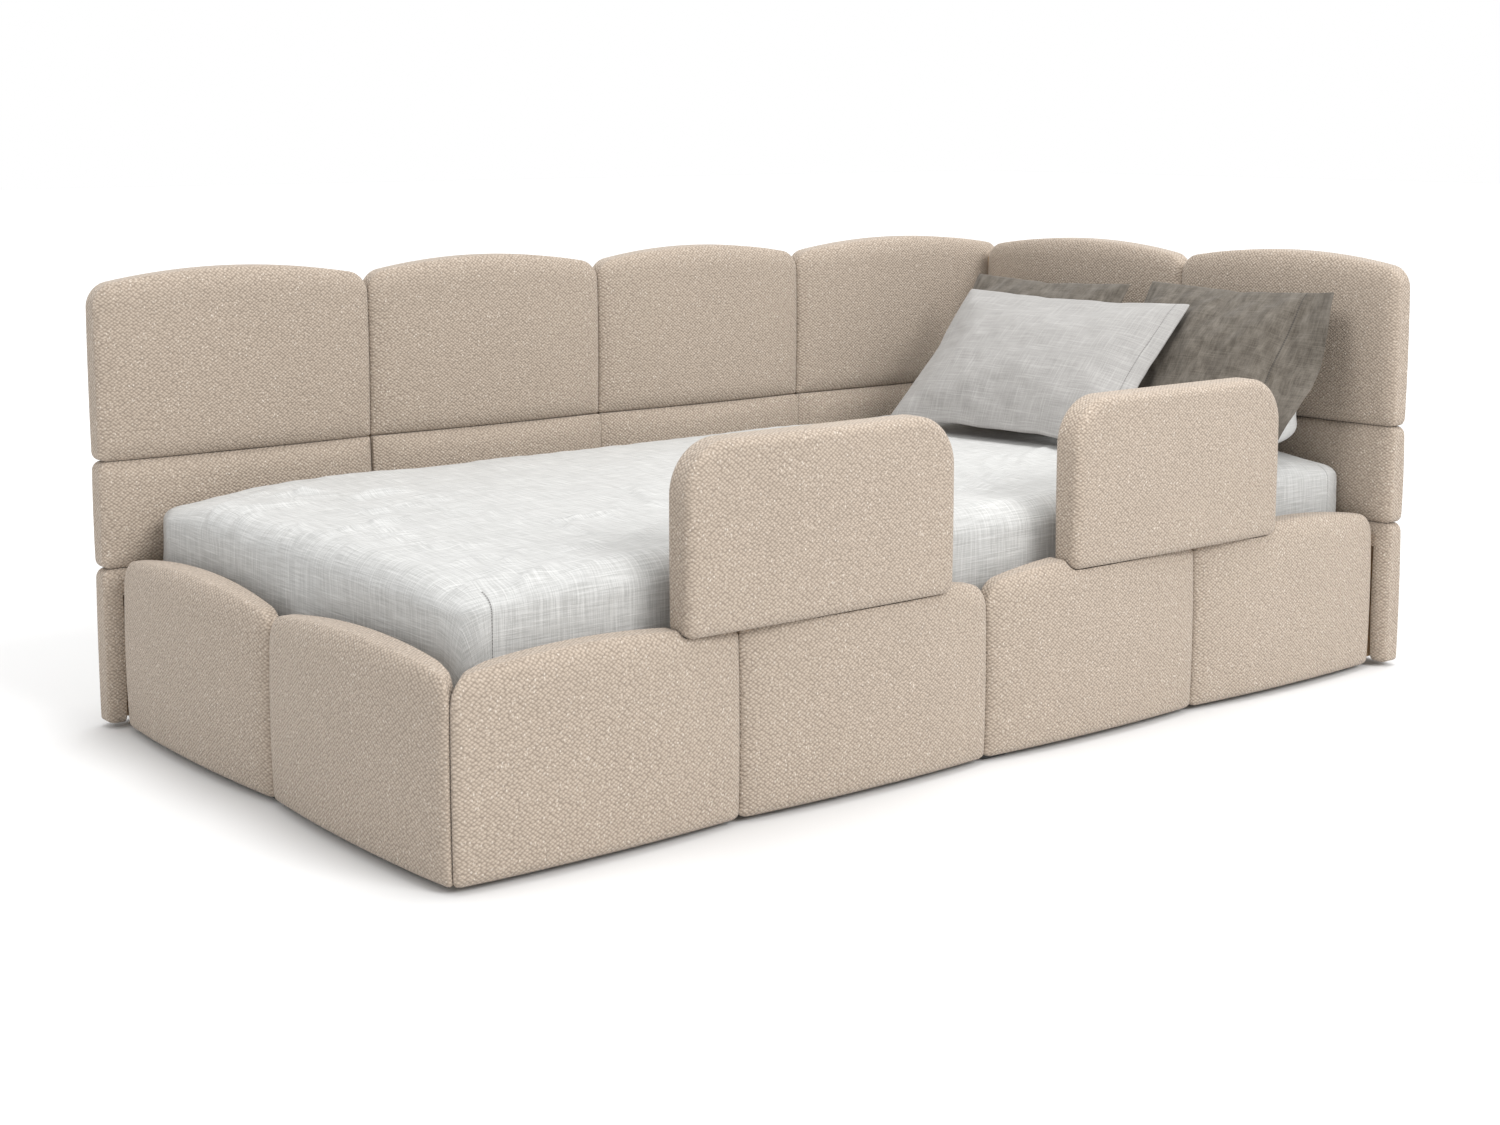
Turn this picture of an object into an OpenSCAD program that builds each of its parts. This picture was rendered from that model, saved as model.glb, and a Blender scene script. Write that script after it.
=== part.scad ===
// Upholstered corner bed with two lift-out guard bumpers, a mattress and pillows.
// X runs from the foot to the head, Y from the open side to the long back, Z up.
// The origin is on the floor, at the middle of the bed's outline.

/* [Mattress] */
// Length of the mattress
mattress_l = 1990; // [1890:10:2090]
// Width of the mattress
mattress_w = 1000; // [900:10:1100]
// Thickness of the mattress with its fitted sheet
mattress_h = 180; // [140:10:200]
// Height of the slats' top above the floor
slat_top_h = 233; // [225:1:240]

/* [Walls] */
// Height of the long back and the head end at the middle of a pad
wall_h = 795; // [760:5:840]
// Thickness of the long back and the head end
wall_t = 85; // [82:1:95]
// Height of the seam between the bottom and middle rows of pads
seam_low_h = 281; // [275:1:300]
// Height of the seam between the middle and top rows of pads
seam_high_h = 468; // [440:1:500]
// Place along Y of the seam between the two columns of the head end
head_split = 533; // [500:1:600]

/* [Rails] */
// Height of the front and foot rails at the middle of a pad
rail_h = 322; // [310:1:340]
// Thickness of the front and foot rails
rail_t = 76; // [74:1:84]

/* [Guards] */
// Length of one guard bumper
guard_l = 526; // [500:2:540]
// Height of one guard bumper
guard_h = 290; // [240:5:320]
// Thickness of one guard bumper
guard_t = 68; // [64:1:72]
// Distance from the foot end to the middle of the guard nearer the foot
guard_left_x = 678; // [670:1:690]
// Distance from the foot end to the middle of the guard nearer the head
guard_right_x = 1489; // [1480:1:1500]

/* [Base] */
// Number of slats
slat_count = 14; // [10:1:16]
// Width of one slat
slat_w = 90; // [60:5:95]
// Width and height of the two ledges that carry the slats
ledge_w = 25; // [20:1:28]
ledge_h = 40; // [30:1:45]

/* [Hidden] */
$fn = 96;

// Clearances: between neighbouring pads, and round the mattress
seam = 0.5;
fit = 0.25;
end_ease = 5.5;
side_ease = 11.5;
// Faces of the two tall walls and the overall size
head_x = rail_t + mattress_l + 2 * end_ease;
back_y = rail_t + mattress_w + 2 * side_ease;
bed_l = head_x + wall_t;
bed_w = back_y + wall_t;
// The guards stand this far proud of the front rail
guard_y = -8;
centre = [bed_l / 2, (guard_y + bed_w) / 2, 0];
// Pads
pad_z = 8;
corner_ease = 12;
last_gap = 5;
front_pitch = (head_x - corner_ease - last_gap) / 4;
foot_pitch = (back_y - corner_ease - last_gap) / 2;
front_seams = [0, for (n = [1:3]) corner_ease + n * front_pitch, head_x - last_gap];
foot_seams = [0, corner_ease + foot_pitch, back_y - last_gap];
back_seams = [0, for (n = [1:3]) corner_ease + n * front_pitch, bed_l];
head_seams = [0, head_split, back_y];
row_z = [pad_z, seam_low_h, seam_high_h, wall_h];
top_r = 45;
bottom_r = 20;
rail_rise = 14;
wall_rise = 16;
// Boards inside the walls and rails
rail_foam = 40;
rail_board = 18;
wall_foam = 38;
wall_board = 22;
board_z = 16;
rail_board_top = 262;
wall_board_top = 740;
end_foam = 30;
lining_top = 690;
lining_end = 92;
inner_z = slat_top_h + 3;
foot_in = rail_foam + rail_board;
front_in = rail_foam + rail_board;
head_in = head_x + wall_foam;
back_in = back_y + wall_foam;
lining_y = back_in + wall_board;
lining_x = head_in + wall_board;
// Slatted base
slat_t = 18;
slat_bottom = slat_top_h - slat_t;
slat_margin = 17;
slat_pitch = (head_in - foot_in - 2 * slat_margin - slat_w) / (slat_count - 1);
tape_w = 30;
tape_t = 1.2;
beam_w = 30;
beam_h = 45;
beam_y = (front_in + back_in) / 2;
hanger_t = 3;
leg_x = [745, 1430];
leg_r = 25;
foot_h = 12;
glide_l = 60;
glide_w = 16;
bracket_l = 60;
bracket_h = 100;
bracket_t = 4;
bracket_z = 50;
bolt_r = 3.5;
screw_r = 2.5;
ledge_screw_x = [for (n = [0:5]) 170 + n * (head_x - 270) / 5];
// Guards
guard_z = 302;
guard_top_r = 60;
guard_bottom_r = 28;
core_t = 12;
core_y = 21;
core_inset = 30;
tongue_w = 40;
tongue_t = 5;
tongue_y = core_y + core_t;
tongue_dx = 125;
tongue_z = 130;
tongue_top = 480;
socket_z = 118;
socket_h = 140;
socket_wall = 1.7;
socket_ease = 0.3;
flange_w = 70;
flange_z = 150;
flange_h = 80;
// Mattress and pillows
mattress_z = slat_top_h + 0.5;
sheet_t = 2;
pillow_edge = 8;

fabric = [0.76, 0.69, 0.61];
wood = [0.82, 0.68, 0.48];
steel = [0.62, 0.63, 0.65];

// ---- shared shapes -------------------------------------------------------

// A box between two opposite corners
module box(low, high) {
    translate(low) cube(high - low);
}

// The waste outside a rounded corner of radius r at the lower left
module corner_waste(r) {
    difference() {
        translate([-1, -1]) square(r + 1);
        translate([r, r]) circle(r);
    }
}

// Outline of one pad: w wide, h high, rounded corners and a domed top
module pad_face(w, h, top, bottom, rise) {
    dome_r = rise > 0 ? (w * w / 4 + rise * rise) / (2 * rise) : 0;
    difference() {
        intersection() {
            square([w, h]);
            if (rise > 0) translate([w / 2, h - dome_r]) circle(dome_r, $fn = 360);
        }
        corner_waste(bottom);
        translate([w, 0]) mirror([1, 0]) corner_waste(bottom);
        translate([0, h]) mirror([0, 1]) corner_waste(top);
        translate([w, h]) rotate(180) corner_waste(top);
    }
}

// Slab along X from x0 to x1 and z0 to z1, between y0 and y0 + t
module slab_x(x0, x1, z0, z1, y0, t, top, bottom, rise) {
    translate([x0 + seam / 2, y0 + t, z0 + seam / 2])
        rotate([90, 0, 0])
            linear_extrude(t)
                pad_face(x1 - x0 - seam, z1 - z0 - seam, top, bottom, rise);
}

// Slab along Y from y0 to y1 and z0 to z1, between x0 and x0 + t
module slab_y(y0, y1, z0, z1, x0, t, top, bottom, rise) {
    translate([x0, y0 + seam / 2, z0 + seam / 2])
        rotate([90, 0, 90])
            linear_extrude(t)
                pad_face(y1 - y0 - seam, z1 - z0 - seam, top, bottom, rise);
}

// A screw or bolt: head at the origin's near side, shank along +Z
module fastener(r, head_r, head_h, length) {
    translate([0, 0, -head_h]) cylinder(h = head_h, r = head_r);
    cylinder(h = length, r = r);
}

// ---- boards --------------------------------------------------------------

module front_board_volume(g = 0) {
    box([foot_in - g, rail_foam - g, board_z - g], [head_in + g, front_in + g, rail_board_top + g]);
}

module foot_board_volume(g = 0) {
    box([rail_foam - g, rail_foam - g, board_z - g], [foot_in + g, back_in + g, rail_board_top + g]);
}

module head_board_volume(g = 0) {
    box([head_in - g, end_foam - g, board_z - g], [lining_x + g, back_in + g, wall_board_top + g]);
}

module back_board_volume(g = 0) {
    box([end_foam - g, back_in - g, board_z - g], [lining_x + g, lining_y + g, wall_board_top + g]);
}

module front_rail_board() {
    color(wood) translate(-centre) front_board_volume();
}

module foot_board() {
    color(wood) translate(-centre) foot_board_volume();
}

module head_board() {
    color(wood) translate(-centre) head_board_volume();
}

module back_board() {
    color(wood) translate(-centre) back_board_volume();
}

// ---- slatted base --------------------------------------------------------

module ledge(y0) {
    box([foot_in + 1, y0, slat_bottom - ledge_h], [head_in - 1, y0 + ledge_w, slat_bottom]);
}

// Clearance holes for the ledge screws, along Y
module ledge_holes(y0) {
    for (x = ledge_screw_x)
        translate([x, y0 - 1, slat_bottom - ledge_h / 2])
            rotate([-90, 0, 0]) cylinder(h = ledge_w + 2, r = screw_r + 0.3);
}

module front_ledge() {
    color(wood) translate(-centre) difference() {
        ledge(front_in);
        ledge_holes(front_in);
    }
}

module back_ledge() {
    color(wood) translate(-centre) difference() {
        ledge(back_in - ledge_w);
        ledge_holes(back_in - ledge_w);
    }
}

module ledge_screws() {
    color(steel) translate(-centre) for (x = ledge_screw_x) {
        translate([x, front_in + ledge_w, slat_bottom - ledge_h / 2])
            rotate([90, 0, 0]) fastener(screw_r, 5, 3, ledge_w + 10);
        translate([x, back_in - ledge_w, slat_bottom - ledge_h / 2])
            rotate([-90, 0, 0]) fastener(screw_r, 5, 3, ledge_w + 10);
    }
}

module centre_beam() {
    color(wood) translate(-centre)
        box([foot_in + hanger_t, beam_y - beam_w / 2, slat_bottom - beam_h],
            [head_in - hanger_t, beam_y + beam_w / 2, slat_bottom]);
}

// Steel seat that holds one end of the beam: back plate, floor and two cheeks
module beam_hanger() {
    half = beam_w / 2 + 0.3;
    low = slat_bottom - beam_h;
    box([0, -half - 20, low - hanger_t], [hanger_t, half + 20, slat_bottom]);
    box([0, -half - hanger_t, low - hanger_t], [40, half + hanger_t, low]);
    for (side = [-1, 1])
        translate([0, side * (half + hanger_t / 2), low - hanger_t])
            translate([0, -hanger_t / 2, 0]) cube([40, hanger_t, 30]);
}

module beam_hangers() {
    color(steel) translate(-centre) {
        translate([foot_in, beam_y, 0]) beam_hanger();
        translate([head_in, beam_y, 0]) mirror([1, 0, 0]) beam_hanger();
    }
}

module centre_legs() {
    color(wood) translate(-centre) for (x = leg_x)
        translate([x, beam_y, foot_h]) cylinder(h = slat_bottom - beam_h - foot_h, r = leg_r);
}

module leg_feet() {
    color("dimgray") translate(-centre) for (x = leg_x)
        translate([x, beam_y, 0]) cylinder(h = foot_h, r = leg_r + 3);
}

module slats() {
    color(wood) translate(-centre) for (n = [0:slat_count - 1])
        translate([foot_in + slat_margin + n * slat_pitch, front_in + 2, slat_bottom])
            cube([slat_w, back_in - front_in - 4, slat_t]);
}

module slat_tapes() {
    color("ivory") translate(-centre) for (y = [front_in + 270, back_in - 270])
        translate([foot_in + slat_margin, y - tape_w / 2, slat_bottom - tape_t])
            cube([(slat_count - 1) * slat_pitch + slat_w, tape_w, tape_t]);
}

// ---- joinery -------------------------------------------------------------

// Calls its children once at each inner corner, mirrored so that +X and +Y run inwards
module at_corners() {
    for (mx = [0, 1], my = [0, 1])
        translate([mx == 0 ? foot_in : head_in, my == 0 ? front_in : back_in, bracket_z])
            mirror([mx, 0, 0]) mirror([0, my, 0]) children();
}

// Calls its children at the two bolt places of each leg of an angle bracket
module at_bracket_bolts() {
    for (z = [25, bracket_h - 25]) {
        translate([bracket_l * 0.6, bracket_t, z]) rotate([90, 0, 0]) children();
        translate([bracket_t, bracket_l * 0.6, z]) rotate([0, -90, 0]) children();
    }
}

module corner_brackets() {
    color(steel) translate(-centre) at_corners() difference() {
        union() {
            cube([bracket_l, bracket_t, bracket_h]);
            cube([bracket_t, bracket_l, bracket_h]);
        }
        at_bracket_bolts() translate([0, 0, -1]) cylinder(h = bracket_t + 2, r = bolt_r + 0.3);
    }
}

module bracket_bolts() {
    color(steel) translate(-centre) at_corners() at_bracket_bolts() fastener(bolt_r, 7, 4, 18);
}

module floor_glides() {
    long_side = [150, bed_l / 2, bed_l - 150];
    color("dimgray") translate(-centre) {
        for (x = long_side) {
            translate([x, rail_foam + rail_board / 2, 0]) glide(0);
            translate([x, back_in + wall_board / 2, 0]) glide(0);
        }
        translate([rail_foam + rail_board / 2, beam_y, 0]) glide(90);
        translate([head_in + wall_board / 2, beam_y, 0]) glide(90);
    }
}

// One nylon glide under a board's lower edge, with round ends
module glide(turn) {
    rotate(turn) {
        translate([-glide_l / 2 + glide_w / 2, -glide_w / 2, 0])
            cube([glide_l - glide_w, glide_w, board_z]);
        for (side = [-1, 1])
            translate([side * (glide_l - glide_w) / 2, 0, 0]) cylinder(h = board_z, d = glide_w);
    }
}

// ---- upholstered walls ---------------------------------------------------

module back_lining() {
    color(fabric) translate(-centre)
        box([lining_end, lining_y, pad_z], [bed_l, bed_w, lining_top - seam]);
}

module head_lining() {
    color(fabric) translate(-centre)
        box([lining_x, lining_end, pad_z], [bed_l, lining_y - seam, lining_top - seam]);
}

// Space that the boards, linings and base take out of the pads
module wall_core() {
    back_board_volume(fit);
    head_board_volume(fit);
    front_board_volume(fit);
    foot_board_volume(fit);
    box([end_foam - fit, back_in - fit, -1], [bed_l, lining_y + fit, board_z + 1]);
    box([head_in - fit, end_foam - fit, -1], [lining_x + fit, back_in, board_z + 1]);
    box([lining_end - seam, lining_y - fit, -1], [bed_l + 1, bed_w + 1, lining_top]);
    box([lining_x - fit, lining_end - seam, -1], [bed_l + 1, lining_y + 1, lining_top]);
    box([end_foam - fit, back_y - 1, -1], [lining_x, back_in + 1, inner_z]);
    box([head_x - 1, end_foam - fit, -1], [head_in + 1, back_in + 1, inner_z]);
}

// The columns of the back's lower two rows stop against the head board
module back_pad(row, n) {
    right = row < 2 && n == 4 ? head_in - fit : back_seams[n];
    low = row == 0 && n > 1 ? inner_z : row_z[row];
    color(fabric) translate(-centre) difference() {
        slab_x(back_seams[n - 1], right, low, row_z[row + 1], back_y, wall_t,
            row == 2 ? top_r : bottom_r, bottom_r, row == 2 ? wall_rise : 0);
        wall_core();
    }
}

module head_pad(row, n) {
    low = row == 0 && n > 1 ? inner_z : row_z[row];
    color(fabric) translate(-centre) difference() {
        slab_y(head_seams[n - 1], head_seams[n], low, row_z[row + 1], head_x, wall_t,
            row == 2 ? top_r : bottom_r, bottom_r, row == 2 ? wall_rise : 0);
        wall_core();
    }
}

// ---- upholstered rails ---------------------------------------------------

guard_places = [guard_left_x, guard_right_x];
tongue_places = [for (g = guard_places, side = [-1, 1]) g + side * tongue_dx];

// What the boards, the base, the guards and their sockets take out of the rail pads
module rail_core() {
    box([-1, rail_foam - fit, -1], [bed_l, rail_t + 1, inner_z]);
    box([-1, rail_foam - fit, -1], [bed_l, front_in + fit, rail_board_top + fit]);
    for (x = guard_places)
        box([x - guard_l / 2 - 1, -1, guard_z - 1], [x + guard_l / 2 + 1, rail_t + 1, wall_h]);
    for (x = tongue_places) {
        box([x - flange_w / 2 - 1, tongue_y - 3, socket_z - 1],
            [x + flange_w / 2 + 1, rail_foam + fit, socket_z + socket_h + 1]);
        box([x - tongue_w / 2 - 3, tongue_y - 3, socket_z],
            [x + tongue_w / 2 + 3, rail_foam + fit, guard_z]);
    }
}

// Everything on the far side of the 45 degree mitre where the two rails meet
module mitre_waste(towards_foot) {
    shift = towards_foot ? fit : -fit;
    translate([0, 0, -1]) linear_extrude(wall_h)
        polygon(towards_foot
            ? [[-1, -1 - shift], [-1, 100], [100, 100], [100, 100 - shift]]
            : [[-1, -1 - shift], [100, 100 - shift], [100, -1]]);
}

module front_pad(n) {
    color(fabric) translate(-centre) difference() {
        slab_x(front_seams[n - 1], front_seams[n], pad_z, rail_h, 0, rail_t,
            top_r, bottom_r, rail_rise);
        rail_core();
        if (n == 1) mitre_waste(true);
    }
}

module foot_pad(n) {
    color(fabric) translate(-centre) difference() {
        slab_y(foot_seams[n - 1], foot_seams[n], pad_z, rail_h, 0, rail_t,
            top_r, bottom_r, rail_rise);
        box([rail_foam - fit, -1, -1], [rail_t + 1, bed_w, inner_z]);
        box([rail_foam - fit, -1, -1], [foot_in + fit, bed_w, rail_board_top + fit]);
        if (n == 1) mitre_waste(false);
    }
}

// ---- guards --------------------------------------------------------------

// Steel tube that takes one tongue, with a flange that is screwed to the rail board
module guard_socket() {
    half = tongue_w / 2 + socket_ease;
    back = rail_foam;
    difference() {
        union() {
            box([-half - socket_wall, tongue_y - socket_ease - socket_wall, socket_z],
                [half + socket_wall, back, socket_z + socket_h]);
            box([-flange_w / 2, back - socket_wall, flange_z],
                [flange_w / 2, back, flange_z + flange_h]);
        }
        box([-half, tongue_y - socket_ease, socket_z - 1],
            [half, tongue_y + tongue_t + socket_ease, socket_z + socket_h + 1]);
        at_socket_screws() translate([0, 0, -1]) cylinder(h = 4, r = screw_r + 0.3);
    }
}

// Calls its children on the flange, facing the rail board
module at_socket_screws() {
    for (side = [-1, 1], z = [flange_z + 15, flange_z + flange_h - 15])
        translate([side * (flange_w / 2 - 6), rail_foam - socket_wall, z])
            rotate([-90, 0, 0]) children();
}

module guard_sockets() {
    color(steel) translate(-centre) for (x = tongue_places)
        translate([x, 0, 0]) guard_socket();
}

module socket_screws() {
    color(steel) translate(-centre) for (x = tongue_places)
        translate([x, 0, 0]) at_socket_screws() fastener(screw_r, 4.5, 2, 14);
}

module core_volume(x, g = 0) {
    box([x - guard_l / 2 + core_inset - g, core_y - g, guard_z],
        [x + guard_l / 2 - core_inset + g, core_y + core_t + g, guard_z + guard_h - core_inset + g]);
}

// Calls its children at the four bolts of a guard, along Y through core and tongue
module at_guard_bolts(x) {
    for (side = [-1, 1], z = [guard_z + 60, guard_z + 140])
        translate([x + side * tongue_dx, core_y, z]) rotate([-90, 0, 0]) children();
}

module guard_pad(x) {
    color(fabric) translate(-centre) difference() {
        translate([x - guard_l / 2, guard_y + guard_t, guard_z])
            rotate([90, 0, 0])
                linear_extrude(guard_t)
                    pad_face(guard_l, guard_h, guard_top_r, guard_bottom_r, 0);
        core_volume(x, fit);
        translate([0, 0, -1]) core_volume(x, fit);
        for (side = [-1, 1])
            box([x + side * tongue_dx - tongue_w / 2 - 1, tongue_y - 1, guard_z - 1],
                [x + side * tongue_dx + tongue_w / 2 + 1, tongue_y + tongue_t + 1, tongue_top + 1]);
        at_guard_bolts(x) translate([0, 0, -6]) cylinder(h = 32, r = 9);
    }
}

module guard_core(x) {
    color(wood) translate(-centre) difference() {
        core_volume(x);
        at_guard_bolts(x) translate([0, 0, -1]) cylinder(h = core_t + 2, r = 3.3);
    }
}

module guard_tongues(x) {
    color(steel) translate(-centre) difference() {
        for (side = [-1, 1])
            box([x + side * tongue_dx - tongue_w / 2, tongue_y, tongue_z],
                [x + side * tongue_dx + tongue_w / 2, tongue_y + tongue_t, tongue_top]);
        at_guard_bolts(x) translate([0, 0, core_t - 1]) cylinder(h = tongue_t + 2, r = 3.3);
    }
}

// Bolts with their nuts behind the tongues
module guard_bolts(x) {
    color(steel) translate(-centre) at_guard_bolts(x) {
        fastener(3, 6.5, 4, core_t + tongue_t + 6);
        translate([0, 0, core_t + tongue_t]) cylinder(h = 5, r = 5.8, $fn = 6);
    }
}

// ---- mattress and pillows ------------------------------------------------

// A block with round corners in plan
module mattress_block(inset, z0, z1) {
    translate([rail_t + end_ease + inset, rail_t + side_ease + inset, z0])
        linear_extrude(z1 - z0)
            pad_face(mattress_l - 2 * inset, mattress_w - 2 * inset, 40, 40, 0);
}

module mattress() {
    color("white") translate(-centre)
        mattress_block(sheet_t, mattress_z, mattress_z + mattress_h - sheet_t);
}

// The sheet covers the top and the sides
module fitted_sheet() {
    color("whitesmoke") translate(-centre) difference() {
        mattress_block(0, mattress_z + 1, mattress_z + mattress_h);
        mattress_block(sheet_t, mattress_z - 1, mattress_z + mattress_h - sheet_t);
    }
}

// Lens-shaped bar: length along Y, its section w wide along X, t thick at the middle
// and edge thick at both sides
module lens_bar(w, t, edge, length) {
    sag = (t - edge) / 2;
    r = (w * w / 4 + sag * sag) / (2 * sag);
    rotate([90, 0, 0]) linear_extrude(length, center = true)
        intersection() {
            translate([0, t / 2 - r]) circle(r, $fn = 360);
            translate([0, r - t / 2]) circle(r, $fn = 360);
            square([w, t], center = true);
        }
}

// A pillow standing on its lower edge: h up the slope, w along its lower edge, t thick.
// The second bar is a little thicker and each runs past the other's sides, so that their
// faces cross cleanly at the middle and at the corners.
module pillow(foot, yaw, tilt, h, w, t) {
    translate(foot - centre) rotate([0, 0, yaw]) rotate([0, -tilt, 0]) translate([h / 2, 0, 0])
        intersection() {
            lens_bar(h, t, pillow_edge, w + 2);
            rotate([0, 0, 90]) lens_bar(w, t + 6, pillow_edge * 2, h + 2);
        }
}

module front_pillow() {
    color("gainsboro") pillow([1638, 612, 433], 5, 45, 365, 565, 90);
}

module grey_pillow_left() {
    color("rosybrown") pillow([1778, 775, 430], 3, 54, 352, 420, 74);
}

module grey_pillow_right() {
    color("rosybrown") pillow([1796, 285, 430], 2, 55, 360, 470, 76);
}

module rear_pillow() {
    color("white") pillow([1864, 390, 446], 0, 12, 205, 560, 96);
}

// ---- assembly ------------------------------------------------------------

front_rail_board();
foot_board();
head_board();
back_board();
front_ledge();
back_ledge();
centre_beam();
beam_hangers();
centre_legs();
leg_feet();
slats();
slat_tapes();
corner_brackets();
bracket_bolts();
ledge_screws();
floor_glides();
guard_sockets();
socket_screws();
back_lining();
head_lining();
for (n = [1:4])
    front_pad(n);
for (n = [1:2])
    foot_pad(n);
for (n = [1:4]) {
    back_pad(0, n);
    back_pad(1, n);
    back_pad(2, n);
}
for (n = [1:2]) {
    head_pad(0, n);
    head_pad(1, n);
    head_pad(2, n);
}
guard_pad(guard_left_x);  // guard_left_pad
guard_core(guard_left_x);  // guard_left_core
guard_tongues(guard_left_x);  // guard_left_tongues
guard_bolts(guard_left_x);  // guard_left_bolts
guard_pad(guard_right_x);  // guard_right_pad
guard_core(guard_right_x);  // guard_right_core
guard_tongues(guard_right_x);  // guard_right_tongues
guard_bolts(guard_right_x);  // guard_right_bolts
mattress();
fitted_sheet();
front_pillow();
grey_pillow_left();
grey_pillow_right();
rear_pillow();
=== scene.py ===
import math
import bpy
import numpy as np
from mathutils import Matrix, Vector, noise


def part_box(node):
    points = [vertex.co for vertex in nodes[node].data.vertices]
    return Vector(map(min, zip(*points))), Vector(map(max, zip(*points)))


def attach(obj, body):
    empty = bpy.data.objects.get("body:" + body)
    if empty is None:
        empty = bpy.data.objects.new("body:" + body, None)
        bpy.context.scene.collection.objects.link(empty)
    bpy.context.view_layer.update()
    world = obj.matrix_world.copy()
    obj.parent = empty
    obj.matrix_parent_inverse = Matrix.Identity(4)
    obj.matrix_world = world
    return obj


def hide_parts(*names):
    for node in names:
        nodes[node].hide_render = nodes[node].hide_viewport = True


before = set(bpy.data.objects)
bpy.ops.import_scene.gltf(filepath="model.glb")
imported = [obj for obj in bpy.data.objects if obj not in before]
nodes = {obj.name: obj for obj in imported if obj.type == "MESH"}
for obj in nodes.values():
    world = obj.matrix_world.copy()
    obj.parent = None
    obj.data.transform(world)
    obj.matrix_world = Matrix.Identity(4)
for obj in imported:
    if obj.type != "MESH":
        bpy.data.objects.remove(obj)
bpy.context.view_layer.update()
print("frame loaded:", len(nodes), "nodes")


def only(obj=None):
    # an operator acts on all that is selected, so one piece is selected at a time
    if bpy.context.object and bpy.context.object.mode != "OBJECT":
        bpy.ops.object.mode_set(mode="OBJECT")
    bpy.ops.object.select_all(action="DESELECT")
    if obj:
        obj.select_set(True)
        bpy.context.view_layer.objects.active = obj


def cube(name, low, high, cuts=0):
    only()
    bpy.ops.mesh.primitive_cube_add(size=2)
    obj = bpy.context.object
    obj.name = obj.data.name = name
    if cuts:
        bpy.ops.object.mode_set(mode="EDIT")
        bpy.ops.mesh.select_all(action="SELECT")
        bpy.ops.mesh.subdivide(number_cuts=cuts)
        bpy.ops.object.mode_set(mode="OBJECT")
    low, high = np.array(low), np.array(high)
    setPoints(obj, getPoints(obj) * (high - low) / 2 + (high + low) / 2)
    return obj


def getPoints(obj):
    flat = np.empty(len(obj.data.vertices) * 3)
    obj.data.vertices.foreach_get("co", flat)
    return flat.reshape(-1, 3)


def setPoints(obj, points):
    obj.data.vertices.foreach_set("co", np.ascontiguousarray(points, float).ravel())
    obj.data.update()


def applyModifier(obj, kind, **settings):
    only(obj)
    modifier = obj.modifiers.new(kind.lower(), kind)
    for key, value in settings.items():
        setattr(modifier, key, value)
    bpy.ops.object.modifier_apply(modifier=modifier.name)


def carve(obj, boxes):
    # takes each (low, high) box out of a piece, if it reaches it
    for low, high in boxes:
        points = getPoints(obj)
        if (points.max(0) < np.array(low)).any() or (points.min(0) > np.array(high)).any():
            continue
        tool = cube("tool", low, high)
        applyModifier(obj, "BOOLEAN", object=tool, operation="DIFFERENCE", solver="EXACT")
        bpy.data.objects.remove(tool)


def smooth(obj, degrees=40):
    only(obj)
    bpy.ops.object.shade_smooth_by_angle(angle=math.radians(degrees))


def boxOf(node, grow=0.0):
    low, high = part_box(node)
    return np.array(low) - grow, np.array(high) + grow


class Wire:
    # a shader socket that Python's own operators work on
    def __init__(self, shader, socket):
        self.shader, self.socket = shader, socket

    def __add__(self, other):
        return self.shader.maths("ADD", self, other)

    def __radd__(self, other):
        return self.shader.maths("ADD", other, self)

    def __sub__(self, other):
        return self.shader.maths("SUBTRACT", self, other)

    def __rsub__(self, other):
        return self.shader.maths("SUBTRACT", other, self)

    def __mul__(self, other):
        return self.shader.maths("MULTIPLY", self, other)

    def __rmul__(self, other):
        return self.shader.maths("MULTIPLY", other, self)

    def __truediv__(self, other):
        return self.shader.maths("DIVIDE", self, other)

    def __gt__(self, other):
        return self.shader.maths("GREATER_THAN", self, other)

    def __abs__(self):
        return self.shader.maths("ABSOLUTE", self, 0.0)


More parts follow.
